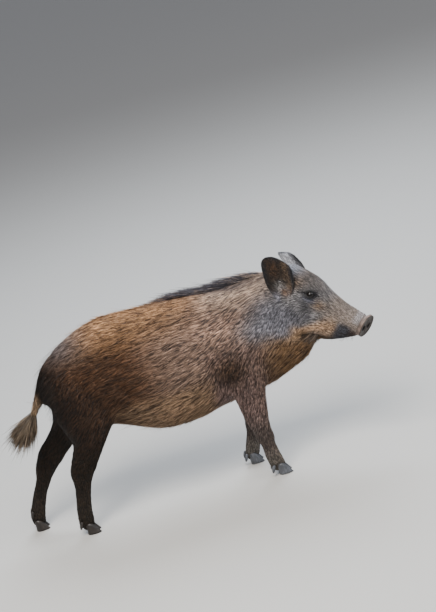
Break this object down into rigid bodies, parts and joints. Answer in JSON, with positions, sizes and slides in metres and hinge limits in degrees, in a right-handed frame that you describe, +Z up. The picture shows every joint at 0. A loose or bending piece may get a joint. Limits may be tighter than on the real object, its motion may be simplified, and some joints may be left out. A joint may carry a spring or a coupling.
{
  "type": "wild boar model",
  "caption": "Life-size still model of a young wild boar walking with its head low and turned to its right, standing on its hooves.",
  "frame": {"origin": "on the floor under the middle of the animal's box", "axes": "+X towards the head, +Y to the animal's left, +Z up; the hooves stand on Z = 0"},
  "size_m": [1.1098, 0.2908, 0.6356],
  "materials": {
    "coat": "short flat ochre and dark brown bristles over skin",
    "head_coat": "short grey hair over skin",
    "leg_coat": "very short dark brown hair over skin",
    "mane": "longer slate black bristles",
    "tail_hair": "long black and tan hairs",
    "nose_skin": "bare moist brown grey skin",
    "eye": "wet dark brown eye",
    "horn": "dark grey brown hoof horn"
  },
  "bodies": {
    "root": {"dewclaw_fore_left_inner": "horn", "dewclaw_fore_left_outer": "horn", "dewclaw_fore_right_inner": "horn", "dewclaw_fore_right_outer": "horn", "dewclaw_hind_left_inner": "horn", "dewclaw_hind_left_outer": "horn", "dewclaw_hind_right_inner": "horn", "dewclaw_hind_right_outer": "horn", "ear_left": "head_coat", "ear_right": "head_coat", "eye_left": "eye", "eye_right": "eye", "fore_left_lower": "leg_coat", "fore_left_upper": "coat", "fore_right_lower": "leg_coat", "fore_right_upper": "coat", "head": "head_coat", "hind_left_lower": "leg_coat", "hind_left_upper": "coat", "hind_right_lower": "leg_coat", "hind_right_upper": "coat", "hoof_fore_left_inner": "horn", "hoof_fore_left_outer": "horn", "hoof_fore_right_inner": "horn", "hoof_fore_right_outer": "horn", "hoof_hind_left_inner": "horn", "hoof_hind_left_outer": "horn", "hoof_hind_right_inner": "horn", "hoof_hind_right_outer": "horn", "jaw": "head_coat", "mane": "mane", "neck": "coat", "nose_disc": "nose_skin", "tail": "coat", "tail_tuft": "tail_hair", "trunk": "coat"}
  },
  "joints": []
}
